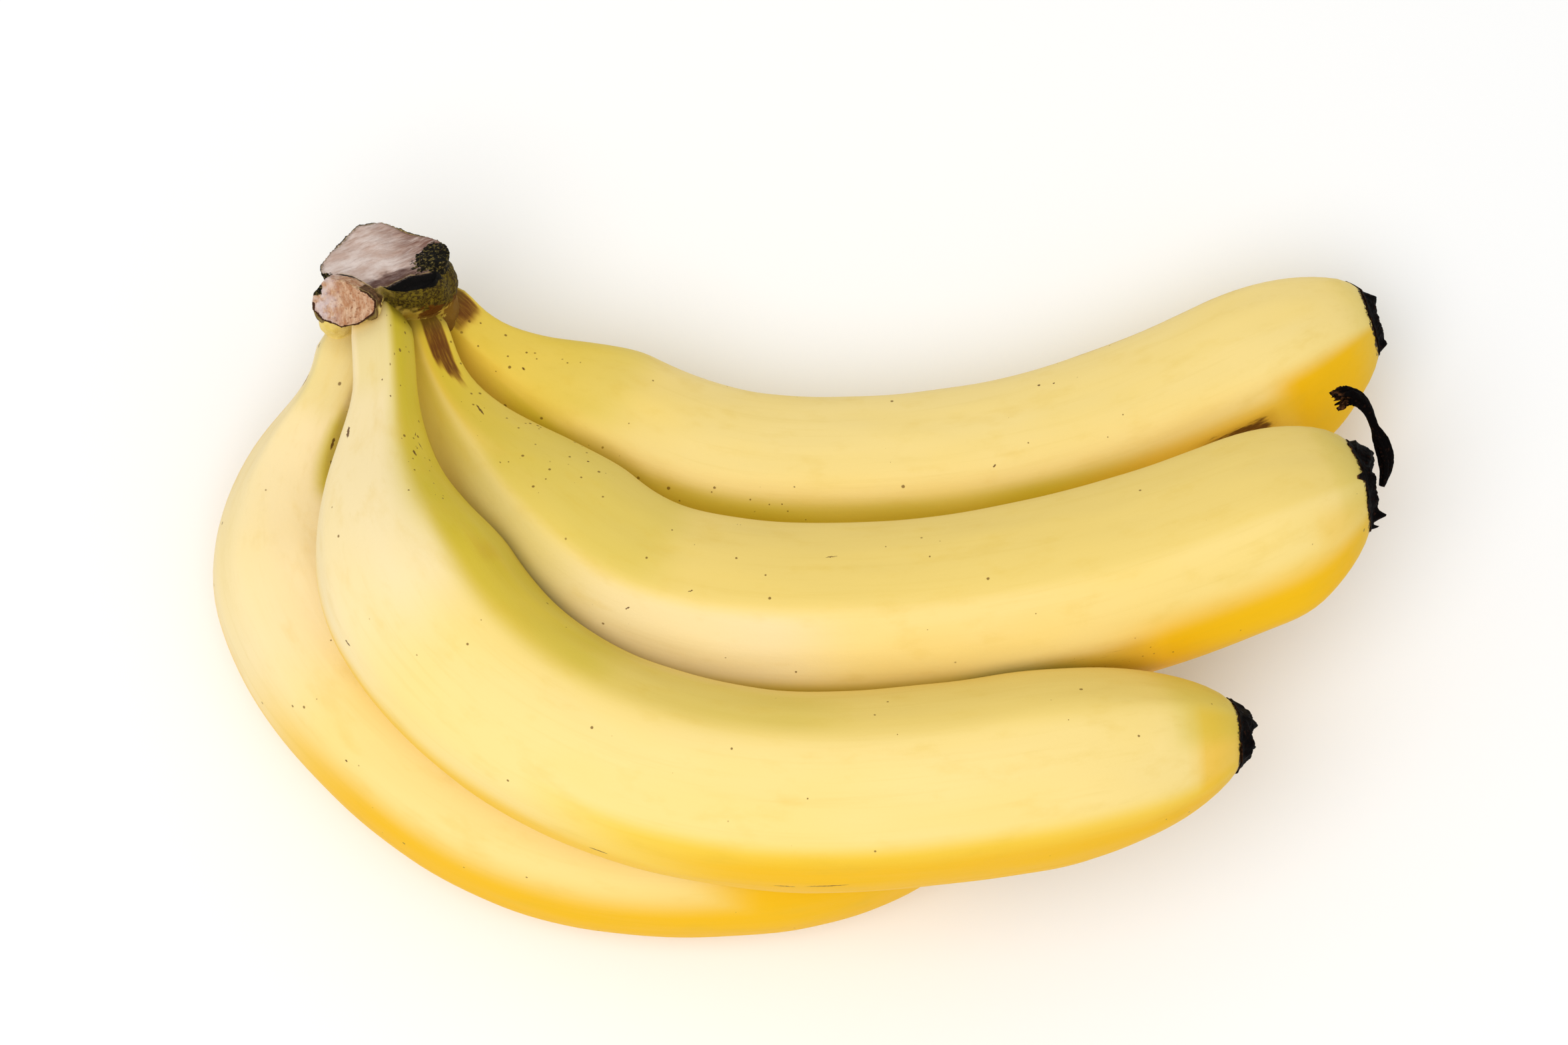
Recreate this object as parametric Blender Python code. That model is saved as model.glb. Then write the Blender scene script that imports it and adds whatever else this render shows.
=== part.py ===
"""A bunch of four bananas, lying on its side as it is put down on a table.

Metres, +Z up, written in millimetres and scaled by MM where a mesh is made. The cut crown is at the left, and
the bananas sweep away from it to the right. The origin is on the table, under the middle of the bounding box.
"""

import math

import bmesh
import bpy
import numpy as np
from mathutils import Vector

MM = 0.001

# ---------------------------------------------------------------- driving dimensions, mm
GAP = 0.3              # clearance between two pieces that touch
RINGS = 46             # cross-sections along one banana
SIDES = 20             # corners of each cross-section: four for each of the five faces
FACETING = 0.34        # 0 is a round cross-section, 1 is a plain pentagon
ROUTE_POINTS = 240     # points read along each banana's centre line

# Moves the routes and places below so that the origin is under the middle of the bunch.
BUNCH_PLACE = (-4.0, 9.3, 0)

# Each banana's centre line runs from its root in the crown to its blossom end. body, neck and tip are radii.
# neck_end, shoulder and taper are shares of the length: where the neck starts to swell, where it has reached
# the full body, and where the blunt end begins. turn is the angle of the first ridge, and tilt is how far the
# blunt end turns from square to the centre line, both in degrees.
BANANAS = {
    "outer": {
        "route": [(-82, 39, 36), (-83.6, 29.5, 34), (-90.6, 15, 25), (-92.4, -3.7, 18.5), (-76, -33, 16.3),
                  (-44, -54, 16.3), (-3, -57, 16.8), (36, -49.5, 19)],
        "body": 18.2, "neck": 6.4, "tip": 7.0, "neck_end": 0.05, "shoulder": 0.27, "taper": 0.80,
        "turn": 56, "tilt": -4,
    },
    "front": {
        "route": [(-76, 38.5, 45), (-74.9, 30, 49), (-74, 20, 51.5), (-73.5, 1.7, 53), (-61.2, -27, 53.5),
                  (-36.4, -46.6, 53.5), (0, -55.7, 53.5), (43, -52, 52), (81.8, -43.9, 46)],
        "body": 18.9, "neck": 6.2, "tip": 6.9, "neck_end": 0.075, "shoulder": 0.28, "taper": 0.82,
        "turn": 69, "tilt": -7,
    },
    "middle": {
        "route": [(-71, 42, 38), (-66.4, 28.2, 36), (-53.6, 7.8, 36), (-31.2, -13, 37), (9, -20.8, 38), (50, -16, 39),
                  (83.5, -5.2, 39), (107.3, 5.5, 38)],
        "body": 19.0, "neck": 6.4, "tip": 8.6, "neck_end": 0.06, "shoulder": 0.28, "taper": 0.89,
        "turn": 23, "tilt": -12,
    },
    "inner": {
        "route": [(-69.3, 46.8, 31), (-60, 37.8, 27), (-41.3, 25, 20), (-14, 13.4, 16.4), (16, 11.2, 16.3),
                  (46, 15.3, 16.3), (89, 31.8, 17), (113.2, 43.7, 19.3)],
        "body": 18.2, "neck": 6.4, "tip": 6.4, "neck_end": 0.05, "shoulder": 0.23, "taper": 0.86,
        "turn": 30, "tilt": -11,
    },
}

# Crown: a block sawn across its top. The saw cut is a plane through CUT_CENTRE that faces CUT_FACES, and the
# block leans away from it along CROWN_LEAN. Each layer is (way along the lean, share of the cut's outline).
CUT_CENTRE = (-75, 47.3, 47.5)
CUT_FACES = (-0.1, 0.55, 0.83)
CUT_OUTLINE = [(-11, -1), (-5, 10), (0, 11), (10.5, 5.5), (12.5, 2.5), (10, -2), (3, -4.5), (-2.7, -8.7),
               (-8, -7), (-11.7, -4.6)]
CROWN_LEAN = (0.05, -0.42, -0.9)
CROWN_LAYERS = [(0, 1.0), (3, 1.05), (9, 1.1), (16, 1.06), (22, 0.9), (27, 0.55)]
SOCKET_RINGS = 12      # cross-sections of a neck, counted from its root, that the crown makes room for
SOCKET_GAP = 0.9       # clearance round a neck in the crown

# Stub: the torn stalk of a banana that was pulled off, beside the saw cut.
STUB_ROUTE = [(-79, 42.5, 42), (-81, 34.7, 57)]
STUB_RADII = (6.8, 6.2)

# Dried flower, still hanging on the blossom end of the middle banana.
FLOWER_ROUTE = [(112.6, 3.4, 41.6), (112.6, 8, 42.6), (111.8, 12, 43.2), (110.2, 15.5, 44), (108.3, 19, 45),
                (105.8, 20.8, 46), (102.8, 20, 46.5)]
FLOWER_RADII = (0.8, 1.7, 1.8, 1.3, 1.6, 2.2, 2.0)
BLOSSOM_LENGTH = 2.8   # dried blossom end, past the end of the fruit


# ---------------------------------------------------------------- curves and sections
def smooth_curve(points, count):
    """count points, evenly spaced, on the natural cubic spline through the given ones."""
    points = np.array(points, float)
    steps = np.linalg.norm(np.diff(points, axis=0), axis=1)
    knots = np.r_[0, np.cumsum(steps)]
    size = len(points)
    system = np.eye(size)
    bend = np.zeros_like(points)
    for i in range(1, size - 1):
        before, after = steps[i - 1], steps[i]
        system[i, i - 1:i + 2] = before, 2 * (before + after), after
        bend[i] = 6 * ((points[i + 1] - points[i]) / after - (points[i] - points[i - 1]) / before)
    bend = np.linalg.solve(system, bend)
    at = np.linspace(0, knots[-1], 8 * count)
    span = np.clip(np.searchsorted(knots, at, side="right") - 1, 0, size - 2)
    left = (knots[span + 1] - at)[:, None]
    right = (at - knots[span])[:, None]
    step = steps[span][:, None]
    curve = (
        bend[span] * left**3 / (6 * step) + bend[span + 1] * right**3 / (6 * step)
        + (points[span] / step - bend[span] * step / 6) * left
        + (points[span + 1] / step - bend[span + 1] * step / 6) * right
    )
    length = np.r_[0, np.cumsum(np.linalg.norm(np.diff(curve, axis=0), axis=1))]
    even = np.linspace(0, length[-1], count)
    return np.stack([np.interp(even, length, curve[:, axis]) for axis in range(3)], axis=1)


def frames_along(curve, tilt):
    """(along, inward, upward) unit vectors at each point of a curve that lies more or less flat."""
    along = np.gradient(curve, axis=0)
    along /= np.linalg.norm(along, axis=1)[:, None]
    turn = math.radians(tilt) * ease((np.linspace(0, 1, len(curve)) - 0.88) / 0.12)
    level = np.stack([-along[:, 1], along[:, 0], 0 * turn], axis=1)
    along = along * np.cos(turn)[:, None] + level * np.sin(turn)[:, None]
    inward = np.cross((0, 0, 1), along)
    inward /= np.linalg.norm(inward, axis=1)[:, None]
    return along, inward, np.cross(along, inward)


def ease(value):
    value = np.clip(value, 0, 1)
    return value * value * (3 - 2 * value)


def girth(share, banana):
    """Radius at each share of a banana's length, from its neck to its blunt end."""
    swell = ease((share - banana["neck_end"]) / (banana["shoulder"] - banana["neck_end"]))
    root = 0.6 + 0.4 * ease(share / 0.035)
    radius = banana["neck"] * root + (banana["body"] - banana["neck"]) * swell
    end = np.clip((share - banana["taper"]) / (1 - banana["taper"]), 0, 1)
    closing = 1 - (banana["tip"] / banana["body"]) ** 2
    return radius * np.sqrt(1 - closing * end**2)


def five_sided(angle):
    """Share of the radius at an angle from the first ridge: all of it on the five ridges, less between."""
    fifth = 2 * math.pi / 5
    from_face = np.mod(angle, fifth) - fifth / 2
    pentagon = math.cos(fifth / 2) / np.cos(from_face)
    return 1 - FACETING * (1 - pentagon)


def angles(count):
    return np.linspace(0, 2 * math.pi, count, endpoint=False)


def ring(centre, side, top, radius, angle):
    """Points round a centre, at angles from side towards top. radius is one value, or one for each angle."""
    outward = np.outer(np.cos(angle), side) + np.outer(np.sin(angle), top)
    return centre + outward * np.reshape(radius, (-1, 1))


# ---------------------------------------------------------------- bananas
def centre_lines():
    """name -> (points, radii) of every banana, closely spaced."""
    share = np.linspace(0, 1, ROUTE_POINTS)
    return {name: (smooth_curve(banana["route"], ROUTE_POINTS), girth(share, banana))
            for name, banana in BANANAS.items()}


def clearance(points, line):
    """Distance from each point to the round tube along a centre line."""
    curve, radii = line
    return (np.linalg.norm(points[:, None] - curve[None], axis=2) - radii).min(axis=1)


def pressed(centre, outward, reach, own, others):
    """How far each ray may go before it meets the table or crosses halfway into a neighbour."""
    down = np.minimum(outward[:, 2], -1e-9)
    reach = np.where(outward[:, 2] < 0, np.minimum(reach, centre[2] / -down), reach)
    low, high = np.zeros(len(reach)), reach.copy()
    for attempt in range(16):
        middle = high if attempt == 0 else (low + high) / 2
        tip = centre + outward * middle[:, None]
        free = np.full(len(tip), np.inf)
        for other in others:
            free = np.minimum(free, clearance(tip, other) - clearance(tip, own))
        clear = free >= GAP
        low = np.where(clear, middle, low)
        high = np.where(clear, high, middle)
    return low


def banana_rings(name, lines, extra=0.0):
    """Cross-sections of one banana, pressed flat where it lies against its neighbours and the table."""
    banana = BANANAS[name]
    own = lines[name]
    others = [line for other, line in lines.items() if other != name]
    share = np.linspace(0, 1, RINGS)
    line_share = np.linspace(0, 1, ROUTE_POINTS)
    curve = np.stack([np.interp(share, line_share, own[0][:, axis]) for axis in range(3)], axis=1)
    along, inward, upward = frames_along(curve, banana["tilt"])
    radii = girth(share, banana)
    angle = angles(SIDES) + math.radians(banana["turn"])
    section = five_sided(angles(SIDES))
    sections = []
    for i in range(RINGS):
        outward = np.outer(np.cos(angle), inward[i]) + np.outer(np.sin(angle), upward[i])
        reach = pressed(curve[i], outward, radii[i] * section, own, others) + extra
        sections.append(curve[i] + outward * reach[:, None])
    return sections


def add_mesh(name, bm, material, parent):
    bmesh.ops.recalc_face_normals(bm, faces=bm.faces)
    mesh = bpy.data.meshes.new(name)
    bm.to_mesh(mesh)
    bm.free()
    mesh.shade_smooth()
    obj = bpy.data.objects.new(name, mesh)
    bpy.context.scene.collection.objects.link(obj)
    obj.parent = parent
    if material:
        mesh.materials.append(material)
    return obj


def loft(name, sections, material, parent):
    """A closed skin over a row of cross-sections, capped at both ends."""
    bm = bmesh.new()
    loops = []
    for section in sections:
        corners = [bm.verts.new(Vector(point) * MM) for point in section]
        loops.append([bm.edges.new((a, b)) for a, b in zip(corners, corners[1:] + corners[:1])])
    for first, second in zip(loops, loops[1:]):
        bmesh.ops.bridge_loops(bm, edges=first + second)
    bmesh.ops.contextual_create(bm, geom=loops[0])
    bmesh.ops.contextual_create(bm, geom=loops[-1])
    return add_mesh(name, bm, material, parent)


# ---------------------------------------------------------------- dried ends
def blossom_end(name, lines, material, parent):
    """The shrivelled black disc on the end of a banana, with a lumpy rim."""
    curve, radii = lines[name]
    along, inward, upward = (vectors[-1] for vectors in frames_along(curve, BANANAS[name]["tilt"]))
    angle = angles(14)
    phase = len(name) * 1.7
    sections = []
    for depth, share in ((0, 0.93), (0.35, 1.0), (0.75, 0.74), (1, 0.36)):
        lumps = 1 + 0.08 * np.cos(3 * angle + phase) + 0.05 * np.cos(5 * angle + 2 * phase + depth)
        centre = curve[-1] + along * (GAP + depth * BLOSSOM_LENGTH)
        sections.append(ring(centre, inward, upward, radii[-1] * share * lumps, angle))
    return loft("blossom_end_" + name, sections, material, parent)


def dried_flower(material, parent):
    """The long dried style that still curls up from the middle banana's blossom end."""
    count = 20
    curve = smooth_curve(FLOWER_ROUTE, count)
    radii = np.interp(np.linspace(0, 1, count), np.linspace(0, 1, len(FLOWER_RADII)), FLOWER_RADII)
    along = np.gradient(curve, axis=0)
    along /= np.linalg.norm(along, axis=1)[:, None]
    side = np.cross((0, 0.2, 1), along)
    side /= np.linalg.norm(side, axis=1)[:, None]
    top = np.cross(along, side)
    sections = [ring(curve[i], side[i], top[i], radii[i], angles(10)) for i in range(count)]
    return loft("dried_flower", sections, material, parent)


# ---------------------------------------------------------------- crown
def crown_body(parent):
    """The sawn block that the necks grow from, as layers below its cut face."""
    facing = np.array(CUT_FACES) / np.linalg.norm(CUT_FACES)
    across = np.cross((0, 1, 0), facing)
    across /= np.linalg.norm(across)
    up = np.cross(facing, across)
    outline = np.array(CUT_OUTLINE, float)
    sections = []
    for depth, share in CROWN_LAYERS:
        centre = np.array(CUT_CENTRE) + np.array(CROWN_LEAN) * depth
        sections.append(centre + share * (np.outer(outline[:, 0], across) + np.outer(outline[:, 1], up)))
    return loft("crown", sections, None, parent)


def stub(parent):
    start, end = (np.array(point, float) for point in STUB_ROUTE)
    along = (end - start) / np.linalg.norm(end - start)
    side = np.cross(along, (0, 1, 0))
    side /= np.linalg.norm(side)
    top = np.cross(side, along)
    ends = zip((start, end), STUB_RADII)
    sections = [ring(centre, side, top, radius, angles(14)) for centre, radius in ends]
    return loft("stub", sections, None, parent)


def hidden_tool(obj):
    obj.hide_render = True
    obj.display_type = "WIRE"
    return obj


def combine(target, tool, operation):
    modifier = target.modifiers.new(operation.lower(), "BOOLEAN")
    modifier.operation = operation
    modifier.solver = "EXACT"
    modifier.object = hidden_tool(tool)


def crown(lines, material, parent):
    """The sawn block with its torn stub, holding each neck in a socket with a thin clearance."""
    body = crown_body(parent)
    body.data.materials.append(material)
    combine(body, stub(parent), "UNION")
    for name in BANANAS:
        neck = banana_rings(name, lines, extra=SOCKET_GAP)[:SOCKET_RINGS]
        backward = neck[0].mean(axis=0) - neck[1].mean(axis=0)
        behind_root = neck[0] + backward * SOCKET_GAP / np.linalg.norm(backward)
        socket = loft("socket_" + name, [behind_root] + neck, None, parent)
        combine(body, socket, "DIFFERENCE")
    return body


# ---------------------------------------------------------------- materials
def skin(name, colour, roughness):
    material = bpy.data.materials.new(name)
    material.use_nodes = True
    shader = material.node_tree.nodes["Principled BSDF"]
    shader.inputs["Base Color"].default_value = (*colour, 1)
    shader.inputs["Roughness"].default_value = roughness
    shader.inputs["Metallic"].default_value = 0
    return material


# ---------------------------------------------------------------- the bunch
def main():
    for obj in list(bpy.data.objects):
        bpy.data.objects.remove(obj, do_unlink=True)
    bunch = bpy.data.objects.new("bunch", None)
    bunch.location = Vector(BUNCH_PLACE) * MM
    bpy.context.scene.collection.objects.link(bunch)
    lines = centre_lines()
    peel = skin("banana_peel", (0.83, 0.62, 0.09), 0.42)
    dried = skin("dried_blossom", (0.02, 0.014, 0.01), 0.55)
    cut = skin("crown_wood", (0.40, 0.31, 0.25), 0.8)
    for name in BANANAS:
        loft("banana_" + name, banana_rings(name, lines), peel, bunch)
        blossom_end(name, lines, dried, bunch)
    dried_flower(dried, bunch)
    crown(lines, cut, bunch)


main()
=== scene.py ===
"""The looks of a small bunch of bananas, lying on its side on a pale table.

Places are worked out in millimetres, as the bananas were laid out. put() moves them into the frame in metres.
"""

import math

import bmesh
import bpy
import numpy as np
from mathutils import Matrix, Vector, noise


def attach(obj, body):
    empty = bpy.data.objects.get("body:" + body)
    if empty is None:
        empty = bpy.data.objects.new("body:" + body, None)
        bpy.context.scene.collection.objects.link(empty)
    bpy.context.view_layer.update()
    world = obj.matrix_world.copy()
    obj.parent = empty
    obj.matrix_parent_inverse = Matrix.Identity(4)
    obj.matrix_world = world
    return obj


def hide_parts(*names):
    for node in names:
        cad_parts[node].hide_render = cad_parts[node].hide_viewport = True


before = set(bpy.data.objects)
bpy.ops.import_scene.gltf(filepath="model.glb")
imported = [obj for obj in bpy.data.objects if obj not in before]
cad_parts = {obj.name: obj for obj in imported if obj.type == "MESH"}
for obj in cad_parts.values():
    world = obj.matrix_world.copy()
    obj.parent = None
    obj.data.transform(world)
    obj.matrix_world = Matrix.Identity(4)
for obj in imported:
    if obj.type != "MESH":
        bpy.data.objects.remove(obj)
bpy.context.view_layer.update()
scene = bpy.context.scene

# ---------- sizes, mm
MM = 0.001
BUNCH_PLACE = (-4.0, 9.3, 0)   # from the middle of the layout to the middle of the bunch
GAP = 0.25                     # between two bananas that press on each other
ALONG = 260                    # rings of quads along a banana
AROUND = 120                   # quads round it
LINE_POINTS = 150              # points kept on each centre line
BLANK_RADIUS = 0.018           # of the plain bars and balls that pieces grow from, in metres
GROWING_VOXEL = 0.5            # grain of the crown while its parts grow together
CROWN_VOXEL = 0.36             # grain of the finished crown
MARK_DEPTH = 0.003             # how deep a mark reaches into the skin, in metres
BUNCH_MIDDLE = Vector((0, 0, 0.03))
CAMERA_AWAY = 0.85
CAMERA_HEIGHT = math.radians(75)

# Centre lines run from the crown to the blossom end. body, neck and tip are radii; neck_end, shoulder and
# taper are shares of the length; turn is the angle of the first of the five ridges, and tilt is how far the
# blunt end turns from square to the centre line, both in degrees.
BANANAS = {
    "outer": {
        "route": [(-82, 39, 36), (-83.6, 29.5, 34), (-90.6, 15, 25), (-92.4, -3.7, 18.5), (-76, -33, 16.3),
                  (-44, -54, 16.3), (-3, -57, 16.8), (36, -49.5, 19)],
        "body": 18.2, "neck": 6.4, "tip": 7.0, "neck_end": 0.05, "shoulder": 0.27, "taper": 0.80,
        "turn": 56, "tilt": -4,
    },
    "front": {
        "route": [(-76, 38.5, 45), (-74.9, 30, 49), (-74, 20, 51.5), (-73.5, 1.7, 53), (-61.2, -27, 53.5),
                  (-36.4, -46.6, 53.5), (0, -55.7, 53.5), (43, -52, 52), (81.8, -43.9, 46)],
        "body": 18.9, "neck": 6.2, "tip": 6.9, "neck_end": 0.075, "shoulder": 0.28, "taper": 0.82,
        "turn": 69, "tilt": -7,
    },
    "middle": {
        "route": [(-71, 42, 38), (-66.4, 28.2, 36), (-53.6, 7.8, 36), (-31.2, -13, 37), (9, -20.8, 38),
                  (50, -16, 39), (83.5, -5.2, 39), (107.3, 5.5, 38)],
        "body": 19.0, "neck": 6.4, "tip": 8.6, "neck_end": 0.06, "shoulder": 0.28, "taper": 0.89,
        "turn": 23, "tilt": -12,
    },
    "inner": {
        "route": [(-69.3, 46.8, 31), (-60, 37.8, 27), (-41.3, 25, 20), (-14, 13.4, 16.4), (16, 11.2, 16.3),
                  (46, 15.3, 16.3), (89, 31.8, 17), (113.2, 43.7, 19.3)],
        "body": 18.2, "neck": 6.4, "tip": 6.4, "neck_end": 0.05, "shoulder": 0.23, "taper": 0.86,
        "turn": 30, "tilt": -11,
    },
}

# Colour laid over the ripe yellow, layer by layer: (from, to, low, high, soft, strength). from and to
# are shares of the length. low, high and the soft edge are degrees round the banana, from the inside of its
# curve over the top.
# Of these layers, pale and cream are painted highlight on the sides turned to the light, and dull is painted
# shade on the upper facets. gold is a deeper golden yellow, mostly on the sides turned from the light: partly
# the peel's own colour and partly painted shade.
STROKES = {
    "outer": {
        "gold": [(0.48, 1, 160, 270, 34, 1), (0.8, 1, 90, 270, 30, 1), (0.15, 0.5, 195, 270, 30, 0.7)],
        "pale": [(0, 0.66, 40, 150, 30, 1), (0, 0.34, 60, 205, 20, 1)],
        "cream": [(0, 0.3, 50, 170, 40, 1)],
        "green": [(0, 0.07, 60, 140, 30, 0.35), (0.09, 0.15, -30, 52, 22, 1)],
    },
    "front": {
        "gold": [(0.62, 1, 156, 260, 26, 1), (0.3, 0.64, 183, 260, 30, 0.7), (0.965, 1, 80, 180, 20, 0.7)],
        "pale": [(0, 0.2, 80, 128, 34, 1), (0.17, 0.93, 74, 128, 14, 1), (0.12, 0.42, 95, 160, 26, 1)],
        "cream": [(0.04, 0.26, 80, 160, 24, 1)],
        "dull": [(0.5, 0.97, 0, 66, 14, 0.8), (0.28, 0.6, -10, 24, 14, 0.9)],
        "green": [(0, 0.2, 0, 46, 46, 1), (0.18, 0.42, 8, 55, 22, 0.85), (0.4, 0.62, 30, 58, 16, 0.35),
                  (0, 0.08, 66, 130, 10, 0.25), (0.95, 1, 20, 90, 24, 0.5)],
        "bruise": [(0.275, 0.285, 34, 42, 10, 0.35)],
        "freckle": [(0, 0.17, 20, 62, 14, 1)],
    },
    "middle": {
        "gold": [(0.8, 1, 150, 260, 28, 1), (0.95, 1, 120, 200, 24, 0.3), (0.66, 0.8, 160, 250, 16, 0.7)],
        "pale": [(0.22, 0.92, 97, 140, 10, 1), (0.8, 0.97, 60, 120, 20, 0.6)],
        "cream": [(0.22, 0.46, 106, 136, 12, 0.9)],
        "dull": [(0.28, 0.94, 15, 92, 10, 0.9)],
        "green": [(0, 0.22, 15, 74, 20, 0.5), (0.2, 0.34, 25, 92, 12, 0.5), (0.04, 0.26, 108, 170, 20, 0.6),
                  (0.26, 0.6, 154, 250, 16, 1), (0.975, 1, 40, 110, 24, 0.25)],
        "bruise": [(0.7, 0.755, 148, 176, 14, 0.55)],
        "stain": [(0, 0.055, 40, 74, 9, 1), (0.04, 0.075, 42, 62, 8, 0.95), (0.06, 0.09, 45, 55, 5, 0.7)],
        "freckle": [(0.06, 0.24, 25, 80, 14, 0.8)],
    },
    "inner": {
        "gold": [(0.9, 1, 118, 240, 16, 1), (0.64, 0.9, 124, 240, 10, 0.45)],
        "pale": [(0.32, 0.96, 30, 112, 16, 1)],
        "green": [(0.02, 0.16, 70, 150, 20, 0.3), (0.05, 0.2, 25, 90, 20, 0.35),
                  (0.18, 0.62, 120, 240, 12, 0.85)],
        "bruise": [(0.8, 0.85, 128, 176, 6, 1), (0.71, 0.8, 136, 176, 5, 0.75)],
        "stain": [(0, 0.042, 40, 100, 12, 1)],
        "scuff": [(0.56, 0.86, 12, 22, 6, 0.6)],
        "freckle": [(0.18, 0.42, 116, 150, 8, 1), (0.03, 0.12, 60, 110, 20, 0.7)],
    },
}
# Single dark marks: (share of the length, angle, half length and half width in mm, slant in degrees).
MARKS = {
    "front": [(0.155, 48, 0.45, 0.38, 0), (0.149, 40, 0.2, 0.2, 0), (0.135, 133, 1.2, 0.25, 10),
              (0.285, 150, 0.7, 0.25, 20), (0.09, 88, 0.22, 0.18, 0), (0.105, 74, 0.2, 0.15, 0),
              (0.66, 170, 3.5, 0.22, 8), (0.63, 173, 1.8, 0.2, -5), (0.5, 172, 1.5, 0.3, 0),
              (0.145, 32, 0.9, 0.12, 30), (0.135, 36, 0.6, 0.1, -25), (0.2, 70, 0.18, 0.15, 0)],
    "outer": [(0.03, 151, 0.6, 0.35, 0), (0.07, 168, 1.6, 0.45, 0), (0.34, 84, 0.3, 0.25, 0),
              (0.43, 133, 0.25, 0.2, 0), (0.65, 111, 0.3, 0.22, 0), (0.105, 50, 1.2, 0.3, 0),
              (0.125, 45, 0.8, 0.35, 20)],
    "middle": [(0.4, 92, 0.5, 0.15, 30), (0.52, 60, 1.2, 0.12, 8), (0.24, 40, 0.25, 0.25, 0),
               (0.13, 60, 1.6, 0.25, -12), (0.355, 112, 0.45, 0.12, 50), (0.62, 150, 0.5, 0.15, 60)],
    "inner": [(0.665, 48, 0.35, 0.3, 0), (0.68, 50, 0.2, 0.2, 0), (0.12, 88, 0.3, 0.25, 0),
              (0.6, 100, 0.35, 0.2, 30), (0.235, 128, 0.8, 0.35, 20)],
}
LAYERS = ("gold", "pale", "cream", "dull", "green", "bruise", "stain", "scuff", "freckle")

# Crown: the saw cut is a plane through CUT_CENTRE that faces CUT_FACES. The outline is in that plane.
CUT_CENTRE = np.array((-75, 47.3, 47.5))
CUT_FACES = np.array((-0.1, 0.55, 0.83))
CUT_OUTLINE = [(-6.5, 11), (-2, 11.6), (1.2, 9.8), (4, 8), (9, 5.6), (11, 4.4), (12.6, 1.8), (12.3, -2),
               (8.8, -4.3), (5.3, -5), (2.5, -7.2), (0.5, -8.7), (-2.4, -9.6), (-5, -7.6), (-7.5, -6.6),
               (-10.3, -5.2), (-11.8, -3.6), (-12.1, -0.8), (-10.1, 4)]
# Below the cut the block leans this way, and its layers are (depth, share of the outline).
CROWN_LEAN = np.array((0.05, -0.42, -0.9))
CROWN_LAYERS = [(-4, 1), (0, 1), (2, 0.95), (4, 0.93), (7, 0.97), (10, 1), (16, 1), (22, 0.9), (27, 0.5)]
# Swollen cushions between the cut and the necks, and where sap has seeped down: (middle, half sizes).
CUSHIONS = [((-70, 41.6, 45), (7.5, 4.8, 8.5)), ((-65.2, 44.4, 41.5), (3.8, 4.8, 7)),
            ((-84, 37.4, 41), (3.6, 3.4, 5.5))]
SEEPS = [((-66, 36.8, 43.5), (2.6, 3.2, 4.5)), ((-62, 39.6, 37), (3, 4.2, 4.5))]
# Black patches: (centre, half sizes, cosine and sine of the long axis), the first two in the plane of the cut
# and the last in the plane of the tear.
CORNER = ((10.0, 0.2), (4.6, 3.2), (0.67, 0.74))
LEFT_CHAR = ((-11.3, -5.4), (1.8, 1.8))
STUB_CHAR = ((-5.5, 3.6), (1.2, 1.2))

# Stub: the torn stalk of a fifth banana. Its outline is in the plane of the tear.
STUB_BASE = np.array((-79, 42.5, 40))
STUB_FACE = np.array((-81, 34.7, 57))
STUB_OUTLINE = [(6.2, -0.5), (6.0, 2.4), (4.2, 4.6), (3.1, 5.6), (0.2, 4.9), (-3.0, 3.3), (-4.4, 2.6),
                (-6.1, 0.9), (-5.6, -1.3), (-2.6, -3.3), (1.0, -3.8), (4.5, -2.2)]

# Dried blossom ends: how far the black skin creeps back over the fruit, how far the end stands out, its teeth
# (angle, reach, width in degrees) and its points (angle, share of the radius, height, half width).
DRIED = {
    "outer": {"back": 0.6, "out": 2.4, "teeth": [(60, 1.5, 16), (200, 1.2, 14)],
              "points": [(90, 0.3, 1.5, 1.4)]},
    "front": {"back": 0.3, "out": 2.9, "teeth": [(50, 0.8, 10), (100, 0.7, 12)],
              "points": [(15, 0.25, 2.2, 3.4), (5, 0.8, 1.2, 2.2), (140, 0.5, 0.8, 1.6)]},
    "middle": {"back": 0.45, "out": 2.4, "teeth": [(48, 0.8, 16), (92, 2.8, 3.5), (125, 0.5, 10)],
               "points": [(5, 0.7, 2.8, 6.0), (165, 0.8, 1.8, 0.9), (178, 0.95, 2.0, 0.8)]},
    "inner": {"back": 0.25, "out": 1.7, "teeth": [(18, 2.6, 5), (88, 0.6, 12)],
              "points": [(30, 0.7, 0.9, 1.8), (172, 0.85, 1.2, 1.2)]},
}

# The dried flower on the middle banana: its centre line, and radii evenly along it.
FLOWER_ROUTE = [(111.2, 4.6, 41.8), (112.0, 8.6, 42.6), (111.2, 12.6, 43.3), (109.8, 16, 44),
                (108.2, 19.2, 45), (105.8, 20.8, 46), (102.2, 19.6, 46.5)]
FLOWER_RADII = [0.5, 0.9, 1.3, 1.45, 1.35, 0.8, 0.9, 1.2, 1.55, 1.8, 1.8]


# ---------- curves
def steps_of(points):
    return np.linalg.norm(np.diff(points, axis=0), axis=1)


def length_of(curve):
    return steps_of(curve).sum()


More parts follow.
